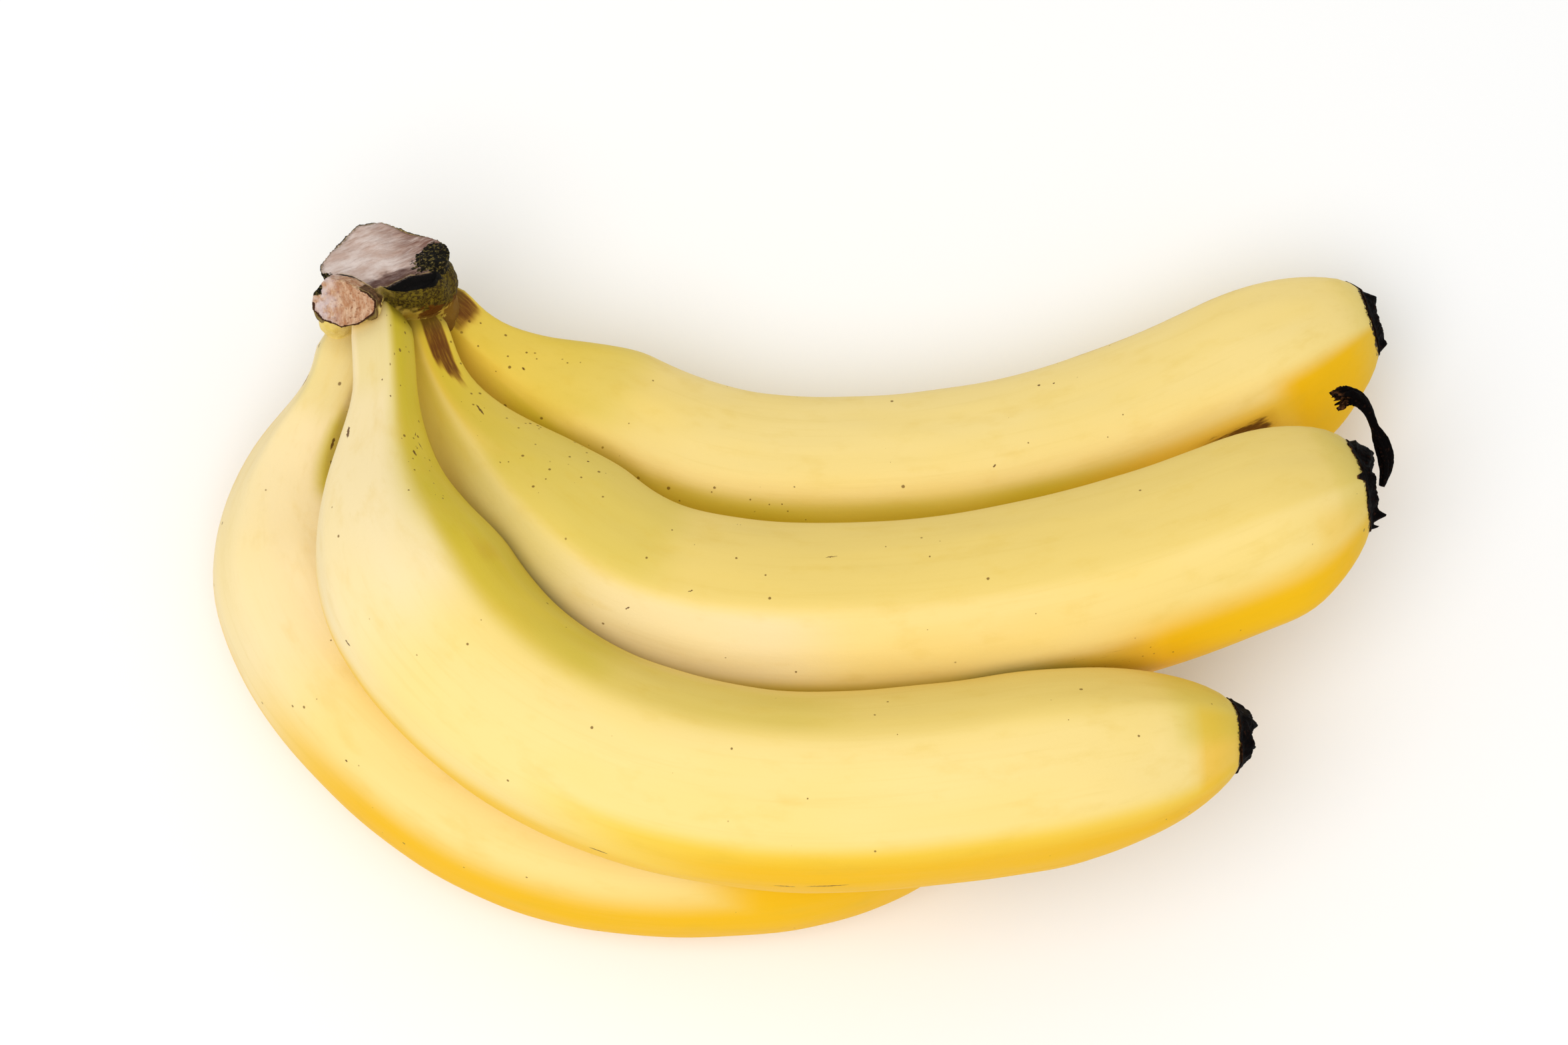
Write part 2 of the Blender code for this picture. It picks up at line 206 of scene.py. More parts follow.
def smooth_curve(points, count):
    """count points, evenly spaced, on the natural cubic spline through the given ones."""
    points = np.array(points, float)
    steps = steps_of(points)
    knots = np.r_[0, np.cumsum(steps)]
    size = len(points)
    system = np.eye(size)
    bend = np.zeros_like(points)
    for i in range(1, size - 1):
        before, after = steps[i - 1], steps[i]
        system[i, i - 1:i + 2] = before, 2 * (before + after), after
        bend[i] = 6 * ((points[i + 1] - points[i]) / after - (points[i] - points[i - 1]) / before)
    bend = np.linalg.solve(system, bend)
    at = np.linspace(0, knots[-1], 8 * count)
    span = np.clip(np.searchsorted(knots, at, side="right") - 1, 0, size - 2)
    left = (knots[span + 1] - at)[:, None]
    right = (at - knots[span])[:, None]
    step = steps[span][:, None]
    curve = (
        bend[span] * left**3 / (6 * step) + bend[span + 1] * right**3 / (6 * step)
        + (points[span] / step - bend[span] * step / 6) * left
        + (points[span + 1] / step - bend[span + 1] * step / 6) * right
    )
    length = np.r_[0, np.cumsum(steps_of(curve))]
    even = np.linspace(0, length[-1], count)
    return np.stack([np.interp(even, length, curve[:, axis]) for axis in range(3)], axis=1)


def frames_along(curve, tilt=0):
    """(along, inward, upward) unit vectors at each point of a curve that lies more or less flat."""
    along = unit(np.gradient(curve, axis=0))
    turn = math.radians(tilt) * ease((np.linspace(0, 1, len(curve)) - 0.88) / 0.12)
    level = np.c_[-along[:, 1], along[:, 0], 0 * turn]
    along = ring_round(along, level, turn)
    inward = unit(np.cross((0, 0, 1), along))
    return along, inward, np.cross(along, inward)


def unit(vectors):
    return vectors / np.linalg.norm(vectors, axis=-1, keepdims=True)


def ring_round(first, second, angle):
    """Unit vectors at angles round an axis, from the first direction to the second."""
    return first * np.cos(angle)[:, None] + second * np.sin(angle)[:, None]


def ease(value):
    value = np.clip(value, 0, 1)
    return value * value * (3 - 2 * value)


def spread(values, share):
    """Reads a list that is evenly spaced along the banana, at each share of its length."""
    at = np.clip(share, 0, 1) * (len(values) - 1)
    low = np.minimum(at.astype(int), len(values) - 2)
    part = (at - low)[:, None] if values.ndim > 1 else at - low
    return values[low] * (1 - part) + values[low + 1] * part


# ---------- mesh helpers
def to_mode(mode):
    bpy.ops.object.mode_set(mode=mode)


def nothing_selected():
    if bpy.context.mode != "OBJECT":
        to_mode("OBJECT")
    bpy.ops.object.select_all(action="DESELECT")


def only(obj):
    nothing_selected()
    obj.select_set(True)
    bpy.context.view_layer.objects.active = obj


def points_of(obj, field="co"):
    values = np.empty(len(obj.data.vertices) * 3)
    obj.data.vertices.foreach_get(field, values)
    return values.reshape(-1, 3)


def put(obj, points_mm):
    """Gives the mesh its final points: from the layout in millimetres to the frame in metres."""
    obj.data.vertices.foreach_set("co", ((points_mm + BUNCH_PLACE) * MM).ravel())
    obj.data.update()


def paint(obj, name, values):
    """Keeps one value, or one vector, for each point of the mesh, for the materials to read."""
    kind, field = ("FLOAT_VECTOR", "vector") if np.ndim(values) > 1 else ("FLOAT", "value")
    layer = obj.data.attributes.new(name, kind, "POINT")
    layer.data.foreach_set(field, np.asarray(values, np.float32).ravel())


def noise_at(points, size, seed=0.0, detail=3):
    """Soft noise from -1 to 1 at points in millimetres, with lumps of the given size."""
    return np.array([noise.fractal(Vector(point) / size + Vector((seed, seed, seed)), 0.7, 2.0, detail)
                     for point in points])


def apply_modifier(obj, kind, **settings):
    only(obj)
    modifier = obj.modifiers.new(kind.lower(), kind)
    for key, value in settings.items():
        setattr(modifier, key, value)
    bpy.ops.object.modifier_apply(modifier=modifier.name)


def finished(obj, name, node, material):
    obj.name = obj.data.name = name
    obj.data.materials.clear()
    obj.data.materials.append(material)
    only(obj)
    bpy.ops.object.shade_smooth()
    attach(obj, "root")
    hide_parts(node)


# ---------- bananas
def girth(share, banana):
    swell = ease((share - banana["neck_end"]) / (banana["shoulder"] - banana["neck_end"]))
    root = 0.6 + 0.4 * ease(share / 0.035)
    radius = banana["neck"] * root + (banana["body"] - banana["neck"]) * swell
    end = np.clip((share - banana["taper"]) / (1 - banana["taper"]), 0, 1)
    closing = 1 - (banana["tip"] / banana["body"]) ** 2
    return radius * np.sqrt(1 - closing * end**2)


def ridge_distance(angle, banana):
    """Degrees from the nearest of the five ridges: 0 on a ridge, 36 in the middle of a face."""
    return np.abs(np.mod(np.degrees(angle) - banana["turn"] + 36, 72) - 36)


def section(angle, share, banana):
    """Share of the radius round the five-sided section, with its ridges slightly rounded."""
    softness = 5
    off_ridge = np.radians(np.hypot(ridge_distance(angle, banana), softness) - softness * 0.6)
    pentagon = math.cos(math.pi / 5) / np.cos(np.clip(math.pi / 5 - off_ridge, -0.6, math.pi / 5))
    facets = 0.34 + 0.35 * (1 - ease(share / 0.3)) + 0.12 * ease((share - 0.8) / 0.2)
    return 1 - facets * (1 - pentagon)


def centre_lines():
    share = np.linspace(0, 1, LINE_POINTS)
    return {name: (smooth_curve(banana["route"], LINE_POINTS), girth(share, banana))
            for name, banana in BANANAS.items()}


def clearance(points, line):
    curve, radii = line
    nearest = np.full(len(points), np.inf)
    for point, radius in zip(curve, radii):
        away = points - point
        nearest = np.minimum(nearest, np.sqrt(np.einsum("ij,ij->i", away, away)) - radius)
    return nearest


def freedom(points, own, others):
    """How much nearer each point is to its own banana than to the nearest neighbour."""
    nearest = np.min([clearance(points, other) for other in others], axis=0)
    return nearest - clearance(points, own)


def pressed(centre, outward, reach, own, others):
    """How far each point may stand out before it meets the table or crosses halfway into a neighbour."""
    to_table = np.where(outward[:, 2] < -1e-6, centre[:, 2] / np.maximum(-outward[:, 2], 1e-6), np.inf)
    reach = np.minimum(reach, to_table)
    crossing = np.flatnonzero(freedom(centre + outward * reach[:, None], own, others) < GAP)
    low, high = np.zeros(len(crossing)), reach[crossing]
    for _ in range(12):
        middle = (low + high) / 2
        clear = freedom(centre[crossing] + outward[crossing] * middle[:, None], own, others) >= GAP
        low, high = np.where(clear, middle, low), np.where(clear, high, middle)
    reach[crossing] = low
    return reach


def blank_bar(length, around, rings):
    """A straight closed bar of even quads, and where each of its points is: way along, angle, on the axis."""
    nothing_selected()
    bpy.ops.mesh.primitive_cylinder_add(
        vertices=around, radius=BLANK_RADIUS, depth=length * MM, end_fill_type="TRIFAN")
    blank = bpy.context.object
    to_mode("EDIT")
    bpy.ops.mesh.select_mode(type="EDGE")
    bpy.ops.mesh.select_all(action="DESELECT")
    bm = bmesh.from_edit_mesh(blank.data)
    for edge in bm.edges:
        edge.select = bool(abs(edge.verts[0].co.z - edge.verts[1].co.z) > 0.5 * length * MM)
    bmesh.update_edit_mesh(blank.data)
    bpy.ops.mesh.subdivide(number_cuts=rings - 1)
    to_mode("OBJECT")
    points = points_of(blank) / MM
    on_axis = np.hypot(points[:, 0], points[:, 1]) < 1
    return blank, points[:, 2] / length + 0.5, np.arctan2(points[:, 1], points[:, 0]), on_axis


def stroke(share, degrees, first, last, low, high, soft):
    """1 inside one patch of colour, falling softly to 0 round it."""
    margin = 0.35 * (last - first) + 0.01
    begins = ease((share - first + margin) / margin) if first > 0 else 1
    ends = ease((last + margin - share) / margin) if last < 1 else 1
    beyond = np.abs(np.mod(degrees - (low + high) / 2 + 180, 360) - 180) - (high - low) / 2
    return begins * ends * ease(1 - beyond / soft)


def skin_reach(name, share, angle, length):
    """How far the skin of a banana that touches nothing stands from its centre line."""
    shape = BANANAS[name]
    seed = 10.0 * list(BANANAS).index(name)
    radius = girth(share, shape)
    wrapped = np.c_[radius * np.cos(angle), radius * np.sin(angle), 0.35 * length * share]
    return radius * section(angle, share, shape) + 0.28 * noise_at(wrapped, 9, seed, 2) * ease(share / 0.1)


def grain_place(name, share, angle, length):
    """Where a point would be, in mm, if its banana were straight, in a stretch of space of its own."""
    radius = girth(share, BANANAS[name])
    apart = 1000.0 * list(BANANAS).index(name)
    return np.stack([radius * np.cos(angle), radius * np.sin(angle), length * share + apart], axis=-1)


def banana(name, lines, material):
    own = lines[name]
    others = [line for other, line in lines.items() if other != name]
    length = length_of(own[0])
    piece, share, angle, on_axis = blank_bar(length, AROUND, ALONG)
    centre = spread(own[0], share)
    frames = frames_along(own[0], BANANAS[name]["tilt"])
    inward, upward = (spread(vectors, share) for vectors in frames[1:])
    outward = ring_round(inward, upward, angle)
    radius = pressed(centre, outward, skin_reach(name, share, angle, length), own, others)
    grown = centre + outward * np.where(on_axis, 0, radius)[:, None]
    put(piece, grown)
    paint(piece, "grain", grain_place(name, share, angle, length) * MM)
    paint(piece, "along", share)
    # how near each point is to a neighbouring banana, kept for painted shade where two bananas meet
    paint(piece, "crease_shade", 1 - ease(freedom(grown, own, others) / 7))
    for layer in LAYERS:
        amount = np.zeros(len(share))
        for *reach, strength in STROKES[name].get(layer, ()):
            amount = np.maximum(amount, strength * stroke(share, np.degrees(angle), *reach))
        paint(piece, layer, amount)
    finished(piece, "skin_" + name, "banana_" + name, material)


# ---------- dried ends
def dried_cap(name, lines, material):
    """The shrivelled blossom end: a skin that creeps back over the fruit and a lumpy end with points."""
    look = DRIED[name]
    curve, radii = lines[name]
    length = length_of(curve)
    piece, way, angle, _ = blank_bar(1, 110, 60)
    degrees = np.degrees(angle)
    ring = np.c_[np.cos(angle), np.sin(angle), 0 * angle]
    seed = 3.0 * list(BANANAS).index(name)
    back = look["back"] * (1.1 + 0.9 * noise_at(ring, 0.22, seed, 4))
    for at, reach, width in look["teeth"]:
        off = (np.mod(degrees - at + 180, 360) - 180) / width
        back += reach * np.exp(-off * off) * (1 + 0.5 * noise_at(ring, 0.1, seed + 5, 3))
    back = np.maximum(back, 0.25)
    over = np.clip((way - 0.12) / 0.38, 0, 1)      # over the skin, from the ragged edge to the rim
    end = np.clip((way - 0.5) / 0.5, 0, 1)         # across the end, from the rim to the middle
    inside = np.clip(1 - way / 0.12, 0, 1)         # closes the piece, inside the fruit
    share = 1 - back * (1 - over) / length
    skin = skin_reach(name, share, angle, length)
    lift = -0.25 + 0.5 * ease(over / 0.25) * (1 - inside) - 0.9 * inside
    radius = (skin + lift) * (1 - inside) * (1 - end)
    lumps = np.c_[radius * ring[:, 0], radius * ring[:, 1], 4 * end]
    crumple = noise_at(lumps, 2.2, seed + 9, 4)
    folds = np.sin(angle * 9 + 3 * noise_at(ring, 0.5, seed, 2))
    depth = look["out"] * ease(end / 0.35) * (0.85 + 0.25 * crumple) - 0.6 * ease((end - 0.7) / 0.3)
    for at, place, height, width in look["points"]:
        stands_at = np.array((math.cos(math.radians(at)), math.sin(math.radians(at))))
        off = radius[:, None] * ring[:, :2] - place * radii[-1] * stands_at
        depth += height * np.clip(1 - np.hypot(off[:, 0], off[:, 1]) / width, 0, 1) * (end > 0)
    radius = radius + (0.10 * folds + 0.22 * crumple) * ease(over / 0.4) * (1 - end) * (1 - inside)
    centre = spread(curve, share)
    frames = frames_along(curve, BANANAS[name]["tilt"])
    along, inward, upward = (spread(vectors, share) for vectors in frames)
    outward = ring_round(inward, upward, angle)
    grown = centre + outward * radius[:, None] + along * (depth * (end > 0) - 1.2 * inside)[:, None]
    put(piece, grown)
    paint(piece, "edge", 1 - over)
    finished(piece, "dried_end_" + name, "blossom_end_" + name, material)


def dried_flower(material):
    """The dead flower that still hangs on the middle banana: a twisted, pinched stalk with a torn end."""
    curve = smooth_curve(FLOWER_ROUTE, 120)
    along = unit(np.gradient(curve, axis=0))
    side = unit(np.cross((0, 0.2, 1), along))
    top = np.cross(along, side)
    piece, way, angle, on_axis = blank_bar(1, 72, 170)
    radius = np.interp(way, np.linspace(0, 1, len(FLOWER_RADII)), FLOWER_RADII)
    round_it = np.c_[np.cos(angle), np.sin(angle), 0 * angle]
    ragged = noise_at(round_it, 0.3, 4.0, 4)
    twist = angle + 2.5 * way
    wrinkles = 0.12 * np.sin(4 * twist) + 0.05 * np.sin(9 * twist + 4 * way)
    bumps = noise_at(round_it * radius[:, None] + np.c_[0 * way, 0 * way, 25 * way], 1.3, 2.0, 4)
    radius = np.where(on_axis, 0, radius * (1 + wrinkles + (0.08 + 0.3 * ease((way - 0.75) / 0.2)) * bumps))
    tear = ease((way - 0.85) / 0.15)
    spikes = np.exp(-((angle - 2.4) / 0.35) ** 2) + 0.8 * np.exp(-((angle + 0.9) / 0.3) ** 2)
    share = way + (0.08 * ragged - 0.05 + 0.06 * spikes) * tear - np.where(on_axis & (way > 0.5), 0.10, 0)
    share = np.clip(share, 0, 1)
    flat = 1 - 0.35 * ease((way - 0.5) / 0.3)
    grown = (spread(curve, share) + spread(side, share) * (radius * np.cos(angle))[:, None]
             + spread(top, share) * (radius * flat * np.sin(angle))[:, None])
    put(piece, grown)
    paint(piece, "edge", ease((way - 0.8) / 0.2))
    finished(piece, "dried_flower_stalk", "dried_flower", material)


# ---------- crown
def plane_axes(facing):
    """(across, up, facing) unit vectors of a plane; across is level with the table's left and right."""
    facing = unit(facing)
    across = unit(np.cross((0, 1, 0), facing))
    return across, np.cross(facing, across), facing


def in_plane(points, centre, axes):
    """How far points are from a centre along three axes."""
    return np.stack([(points - centre) @ axis for axis in axes], axis=1)


def outline_reach(outline, angle):
    """How far a closed outline stands from its middle, at each angle."""
    corners = np.array(outline + outline[:1], float)
    steps = np.linspace(0, len(corners) - 1, 900)
    edge = np.stack([np.interp(steps, range(len(corners)), corners[:, axis]) for axis in (0, 1)], axis=1)
    bearing = np.arctan2(edge[:, 1], edge[:, 0])
    order = np.argsort(bearing)
    return np.interp(angle, bearing[order], np.hypot(edge[:, 0], edge[:, 1])[order], period=2 * math.pi)


def solid(way_to_place, around, rings):
    """A closed bar. way_to_place gives a point for (way along, angle, 0 on the axis or 1 on the side)."""
    piece, way, angle, on_axis = blank_bar(1, around, rings)
    put(piece, way_to_place(way, angle, 1.0 - on_axis))
    return piece


def crown_block():
    across, up, _ = plane_axes(CUT_FACES)
    depths, shares = np.array(CROWN_LAYERS).T

    def place(way, angle, on_side):
        depth = depths[0] + way * (depths[-1] - depths[0])
        radius = np.interp(depth, depths, shares) * outline_reach(CUT_OUTLINE, angle) * on_side
        return CUT_CENTRE + CROWN_LEAN * depth[:, None] + ring_round(across, up, angle) * radius[:, None]
    return solid(place, 160, 60)


def stub_log():
    across, up, _ = plane_axes(STUB_BASE - STUB_FACE)

    def place(way, angle, on_side):
        axis = STUB_BASE + (STUB_FACE - STUB_BASE) * (1.25 * way)[:, None]
        radius = outline_reach(STUB_OUTLINE, angle) * on_side * (0.85 + 0.15 * ease(way / 0.7))
        return axis + ring_round(across, up, angle) * radius[:, None]
    return solid(place, 100, 30)


def cushion(middle, half_sizes):
    nothing_selected()
    bpy.ops.mesh.primitive_uv_sphere_add(segments=48, ring_count=32, radius=BLANK_RADIUS)
    piece = bpy.context.object
    put(piece, points_of(piece) / BLANK_RADIUS * half_sizes + middle)
    return piece


def neck_core(name, lines):
    """The root of a banana, a little thinner than its skin, for the crown to grow into."""
    shape = BANANAS[name]
    curve = lines[name][0]
    _, inward, upward = frames_along(curve)

    def place(way, angle, on_side):
        share = 0.16 * way
        radius = (girth(share, shape) * section(angle, share, shape) - 0.5 - 1.5 * way) * on_side
        outward = ring_round(spread(inward, share), spread(upward, share), angle)
        return spread(curve, share) + outward * radius[:, None]
    return solid(place, 60, 30)


def slice_off(piece, point, facing):
    """Cuts away everything beyond a plane and closes the cut."""
    only(piece)
    to_mode("EDIT")
    bpy.ops.mesh.select_all(action="SELECT")
    bpy.ops.mesh.bisect(plane_co=Vector((point + BUNCH_PLACE) * MM), plane_no=Vector(facing),
                        use_fill=True, clear_outer=True)
    to_mode("OBJECT")


def joined(first, others):
    only(first)
    for other in others:
        other.select_set(True)
    bpy.ops.object.join()
    return first


def blended(piece, voxel, smoothing):
    """Melts what overlaps in a piece into one skin."""
    apply_modifier(piece, "REMESH", mode="VOXEL", voxel_size=voxel * MM)
    apply_modifier(piece, "SMOOTH", factor=0.5, iterations=smoothing)


def crown_body(lines):
    """Block, cushions and roots grown into one and sawn across the top, with the torn stub beside."""
    block = crown_block()
    swellings = [cushion(*size) for size in CUSHIONS]
    block = joined(block, swellings + [neck_core(name, lines) for name in BANANAS])
    blended(block, GROWING_VOXEL, 10)
    slice_off(block, CUT_CENTRE, plane_axes(CUT_FACES)[2])
    stub = stub_log()
    slice_off(stub, STUB_FACE, plane_axes(STUB_FACE - STUB_BASE)[2])
    block = joined(block, [stub])
    blended(block, CROWN_VOXEL, 3)
    return block


def patch(flat, centre, half_sizes, turn=(1, 0)):
    """1 inside an ellipse, falling softly to 0 round it. turn is the cosine and sine of its long axis."""
    right, up = flat[:, 0] - centre[0], flat[:, 1] - centre[1]
    long_way = turn[0] * right + turn[1] * up
    wide_way = turn[0] * up - turn[1] * right
    return ease(1.6 - np.hypot(long_way / half_sizes[0], wide_way / half_sizes[1]))


def crown(lines, material):
    """The stalk: roughened where it is sawn, torn or bark, and painted for its material."""
    block = crown_body(lines)
    cut_axes = plane_axes(CUT_FACES)
    tear_axes = plane_axes(STUB_FACE - STUB_BASE)
    points = points_of(block) / MM - BUNCH_PLACE
    outward = points_of(block, "normal")
    flat = in_plane(points, CUT_CENTRE, cut_axes)
    tear = in_plane(points, STUB_FACE, tear_axes)
    depth = -flat[:, 2]
    bearing = np.degrees(np.arctan2(flat[:, 1], flat[:, 0]))
    rim = np.hypot(flat[:, 0], flat[:, 1]) / outline_reach(CUT_OUTLINE, np.radians(bearing))
    stub_bearing = math.pi - np.arctan2(tear[:, 1], tear[:, 0])
    stub_rim = np.hypot(tear[:, 0], tear[:, 1]) / outline_reach(STUB_OUTLINE, stub_bearing)

    # what is torn, what is sawn, and the shoulder that rounds away beyond the sawn face
    torn = ease((tear[:, 2] + 0.5) / 0.3) * ease((1.25 - stub_rim) / 0.1)
    level = ease(1.5 - np.abs(depth) / 0.6) * (1 - torn)
    cut = ease((outward @ cut_axes[2] - 0.75) / 0.15) * level * ease((1.08 - rim) / 0.08)
    shoulder = ease((rim - 1.0) / 0.2) * level
    side = (1 - cut) * (1 - torn)

    # the plane of the cut, turned so that the saw marks run along its first axis
    sawn = flat @ np.array(((0.87, 0.5, 0), (-0.5, 0.87, 0), (0, 0, 1))).T
    rough = noise_at(points, 1.6, 3.0, 4)
    ridges = 0.10 * noise_at(sawn * (0.3, 1, 1), 1.4, 1.0, 4) + 0.5 * noise_at(flat, 6, 7.0, 2)
    rounded = 0.6 * ease((rim - 0.9) / 0.1) * (0.5 + 0.5 * rough)
    points = points + cut_axes[2] * (cut * (ridges - rounded) - 1.3 * shoulder)[:, None]
    crumbs = 0.6 * noise_at(tear, 1.6, 5.0, 5) - 0.35 + 0.5 * ease((stub_rim - 0.84) / 0.1)
    points += tear_axes[2] * (torn * crumbs)[:, None]
    bark_relief = 0.15 * rough + 0.10 * noise_at(points * (1, 1, 0.3), 0.8, 8.0, 3)
    points += outward * (side * bark_relief)[:, None]
    put(block, points)

    on_stub = ease((1.35 - stub_rim) / 0.15) * ease((tear[:, 2] + 9) / 3)
    joins_cut = ease((tear[:, 1] - 0.5) / 1.5) * ease((3.5 - tear[:, 0]) / 1.5)
    # the lower right of the stalk below the cut: painted shade goes there, and the olive cushions within it
    under = side * ease((bearing + 112) / 20) * ease((38 - bearing) / 20) * (1 - on_stub)
    to_right = ease((bearing + 60) / 30)
    # how far below the cut the black band reaches, further to the right: partly dried black stalk, partly
    # painted shadow under the overhanging edge of the cut
    dry_and_shadow_depth = 0.7 + 1.2 * to_right * ease((45 - bearing) / 25) + 0.6 * rough
    lowest = ease((bearing + 118) / 20) * ease((-15 - bearing) / 25)
    leftmost = ease((np.abs(bearing) - 100) / 20) * ease((8 - depth) / 3) * ease((1.30 - rim) / 0.12)
    stub_side = on_stub * ease((tear[:, 2] + 1.9 + 6 * ease(tear[:, 1])) / 0.9)
    black = [patch(flat, *CORNER) * ease((4 - depth) / 2),
             patch(flat, *LEFT_CHAR) * ease((5 - depth) / 1.5) * (1 - torn),
             patch(tear, *STUB_CHAR) * ease((tear[:, 2] + 2) / 0.5)]
    wet = np.min([np.linalg.norm((points - middle) / sizes, axis=1) for middle, sizes in SEEPS], axis=0)
    layers = {
        "cut": cut, "rim": rim, "under": under, "flat": sawn * MM, "tear": tear * MM,
        "torn": np.maximum(torn, side * on_stub * joins_cut),
        "lip": ease((stub_rim - 0.87) / 0.09) * (1 - joins_cut),
        "dry_black_and_shadow": side * ease((dry_and_shadow_depth - depth) / 0.8 + 0.5) * (1 - on_stub),
        "corner": np.max(black, axis=0),
        "purple": cut * lowest * ease((rim + 0.15 * rough - 0.50) / 0.25),
        "cushion": under * ease((6.5 + 5 * to_right + 1.5 * rough - depth) / 2),
        "seep": side * ease(1.5 - wet + 0.4 * rough),
        "bark": side * np.maximum(leftmost, stub_side),
    }
    for name, values in layers.items():
        paint(block, name, values)
    finished(block, "crown_stalk", "crown", material)


# ---------- node helpers
def node(tree, kind, inputs=(), **settings):
    """Adds a node; each input is a value or another node's output."""
    made = tree.nodes.new("ShaderNode" + kind)
    for key, value in settings.items():
        setattr(made, key, value)
    for socket, value in dict(inputs).items():
        if isinstance(value, bpy.types.NodeSocket):
            tree.links.new(value, made.inputs[socket])
        else:
            made.inputs[socket].default_value = value
    return made


def colour(red, green, blue):
    """A colour given as it looks on screen, 0 to 255, as the linear values that shaders use."""
    screen = [value / 255 for value in (red, green, blue)]
    return (*(((c + 0.055) / 1.055) ** 2.4 if c > 0.04 else c / 12.92 for c in screen), 1)


def mix(tree, amount, first, second):
    """From the first colour to the second; each is three numbers up to 255 or another node's output."""
    first, second = (colour(*tone) if isinstance(tone, tuple) else tone for tone in (first, second))
    return node(tree, "Mix", {0: amount, 6: first, 7: second}, data_type="RGBA").outputs[2]


def coats(tree, tone, *layers):
    """Lays tints over a tone in turn: (tint, mask, mask...), as thick as the masks multiplied.

    The first mask may be the name of a painted layer.
    """
    for tint, amount, *masks in layers:
        if isinstance(amount, str):
            amount = attribute(tree, amount)
        for mask in masks:
            amount = times(tree, amount, mask)
        tone = mix(tree, amount, tone, tint)
    return tone


def maths(tree, operation, first, second, clamp=False):
    inputs = {0: first, 1: second}
    return node(tree, "Math", inputs, operation=operation, use_clamp=clamp).outputs[0]


def times(tree, first, second, clamp=False):
    return maths(tree, "MULTIPLY", first, second, clamp)


def plus(tree, first, second):
    return maths(tree, "ADD", first, second)


def vector_maths(tree, operation, first, second):
    inputs = {0: first, "Scale" if operation == "SCALE" else 1: second}
    return node(tree, "VectorMath", inputs, operation=operation).outputs[0]


def band(tree, value, low, high, to_low=0.0, to_high=1.0):
    """Turns low..high into 0..1, or into to_low..to_high, smoothly."""
    inputs = {"Value": value, "From Min": low, "From Max": high, "To Min": to_low, "To Max": to_high}
    return node(tree, "MapRange", inputs, interpolation_type="SMOOTHSTEP").outputs[0]


def attribute(tree, name, output="Fac"):
    return node(tree, "Attribute", attribute_name=name).outputs[output]


def object_place(tree):
    return node(tree, "TexCoord").outputs["Object"]


def stretched(tree, vector, scale):
    return node(tree, "Mapping", {"Vector": vector, "Scale": scale}).outputs[0]


def cloud(tree, vector, scale, detail=3.0, roughness=0.55, output=0):
    inputs = {"Vector": vector, "Scale": scale, "Detail": detail, "Roughness": roughness}
    return node(tree, "TexNoise", inputs).outputs[output]


def part_of(tree, vector, axis):
    return node(tree, "SeparateXYZ", {0: vector}).outputs[axis]


def new_group(name, output, **inputs):
    """A node group with one output, a value. An input whose value is None is a vector."""
    group = bpy.data.node_groups.new(name, "ShaderNodeTree")
    for label, value in inputs.items():
        kind = "NodeSocketVector" if value is None else "NodeSocketFloat"
        socket = group.interface.new_socket(label, in_out="INPUT", socket_type=kind)
        if value is not None:
            socket.default_value = value
    group.interface.new_socket(output, in_out="OUTPUT", socket_type="NodeSocketFloat")
    return group, group.nodes.new("NodeGroupInput").outputs, group.nodes.new("NodeGroupOutput").inputs[output]


def use(tree, group, **inputs):
    return node(tree, "Group", inputs, node_tree=group).outputs[0]


def new_material(name):
    material = bpy.data.materials.new(name)
    material.use_nodes = True
    tree = material.node_tree
    return material, tree, tree.nodes["Principled BSDF"]


def finish_with(tree, shader, tone, height, strength, distance, specular):
    """Gives the shader its colour, its relief and its shine."""
    tree.links.new(tone, shader.inputs["Base Color"])
    bump = node(tree, "Bump", {"Height": height, "Strength": strength, "Distance": distance})
    tree.links.new(bump.outputs[0], shader.inputs["Normal"])
    shader.inputs["Specular IOR Level"].default_value = specular


# ---------- shared effects
def dots_group():
    """Round dots scattered at random; Size is in metres, and Chance is the share of cells that have a dot."""
    group, given, mask = new_group(
        "scattered dots", "Mask", Vector=None, Scale=200.0, Size=0.0002, Chance=0.3)
    wobble = cloud(group, given["Vector"], 2500.0, 2.0, 0.5, "Color")
    moved = vector_maths(group, "ADD", given["Vector"], vector_maths(group, "SCALE", wobble, 0.00015))
    cells = node(group, "TexVoronoi", {"Vector": moved, "Scale": given["Scale"]})
    luck = node(group, "SeparateColor", {"Color": cells.outputs["Color"]})
    reach = times(group, given["Size"], plus(group, luck.outputs[1], 0.4))
    away = maths(group, "DIVIDE", maths(group, "DIVIDE", cells.outputs["Distance"], given["Scale"]), reach)
    chosen = maths(group, "LESS_THAN", luck.outputs[0], given["Chance"])
    group.links.new(times(group, band(group, away, 1.0, 0.6), chosen), mask)
    return group


def fibres_group():
    """Fine streaks that run along the fruit or the stalk."""
    group, given, fibres = new_group("long fibres", "Fibres", Vector=None, Across=500.0, Lengthwise=25.0)
    across = given["Across"]
    scale = node(group, "CombineXYZ", {0: across, 1: across, 2: given["Lengthwise"]}).outputs[0]
    drawn = vector_maths(group, "MULTIPLY", given["Vector"], scale)
    group.links.new(cloud(group, drawn, 1.0, 4.0, 0.6), fibres)
    return group


def ragged_group():
    """Gives a soft mask a torn, grainy edge."""
    group, given, mask = new_group("ragged edge", "Mask", Mask=0.0, Vector=None, Scale=400.0, Rag=0.5)
    grains = cloud(group, given["Vector"], given["Scale"], 5.0, 0.65)
    pushed = times(group, plus(group, grains, -0.5), given["Rag"])
    torn = plus(group, given["Mask"], times(group, pushed, 3.0))
    group.links.new(band(group, torn, 0.42, 0.62), mask)
    return group


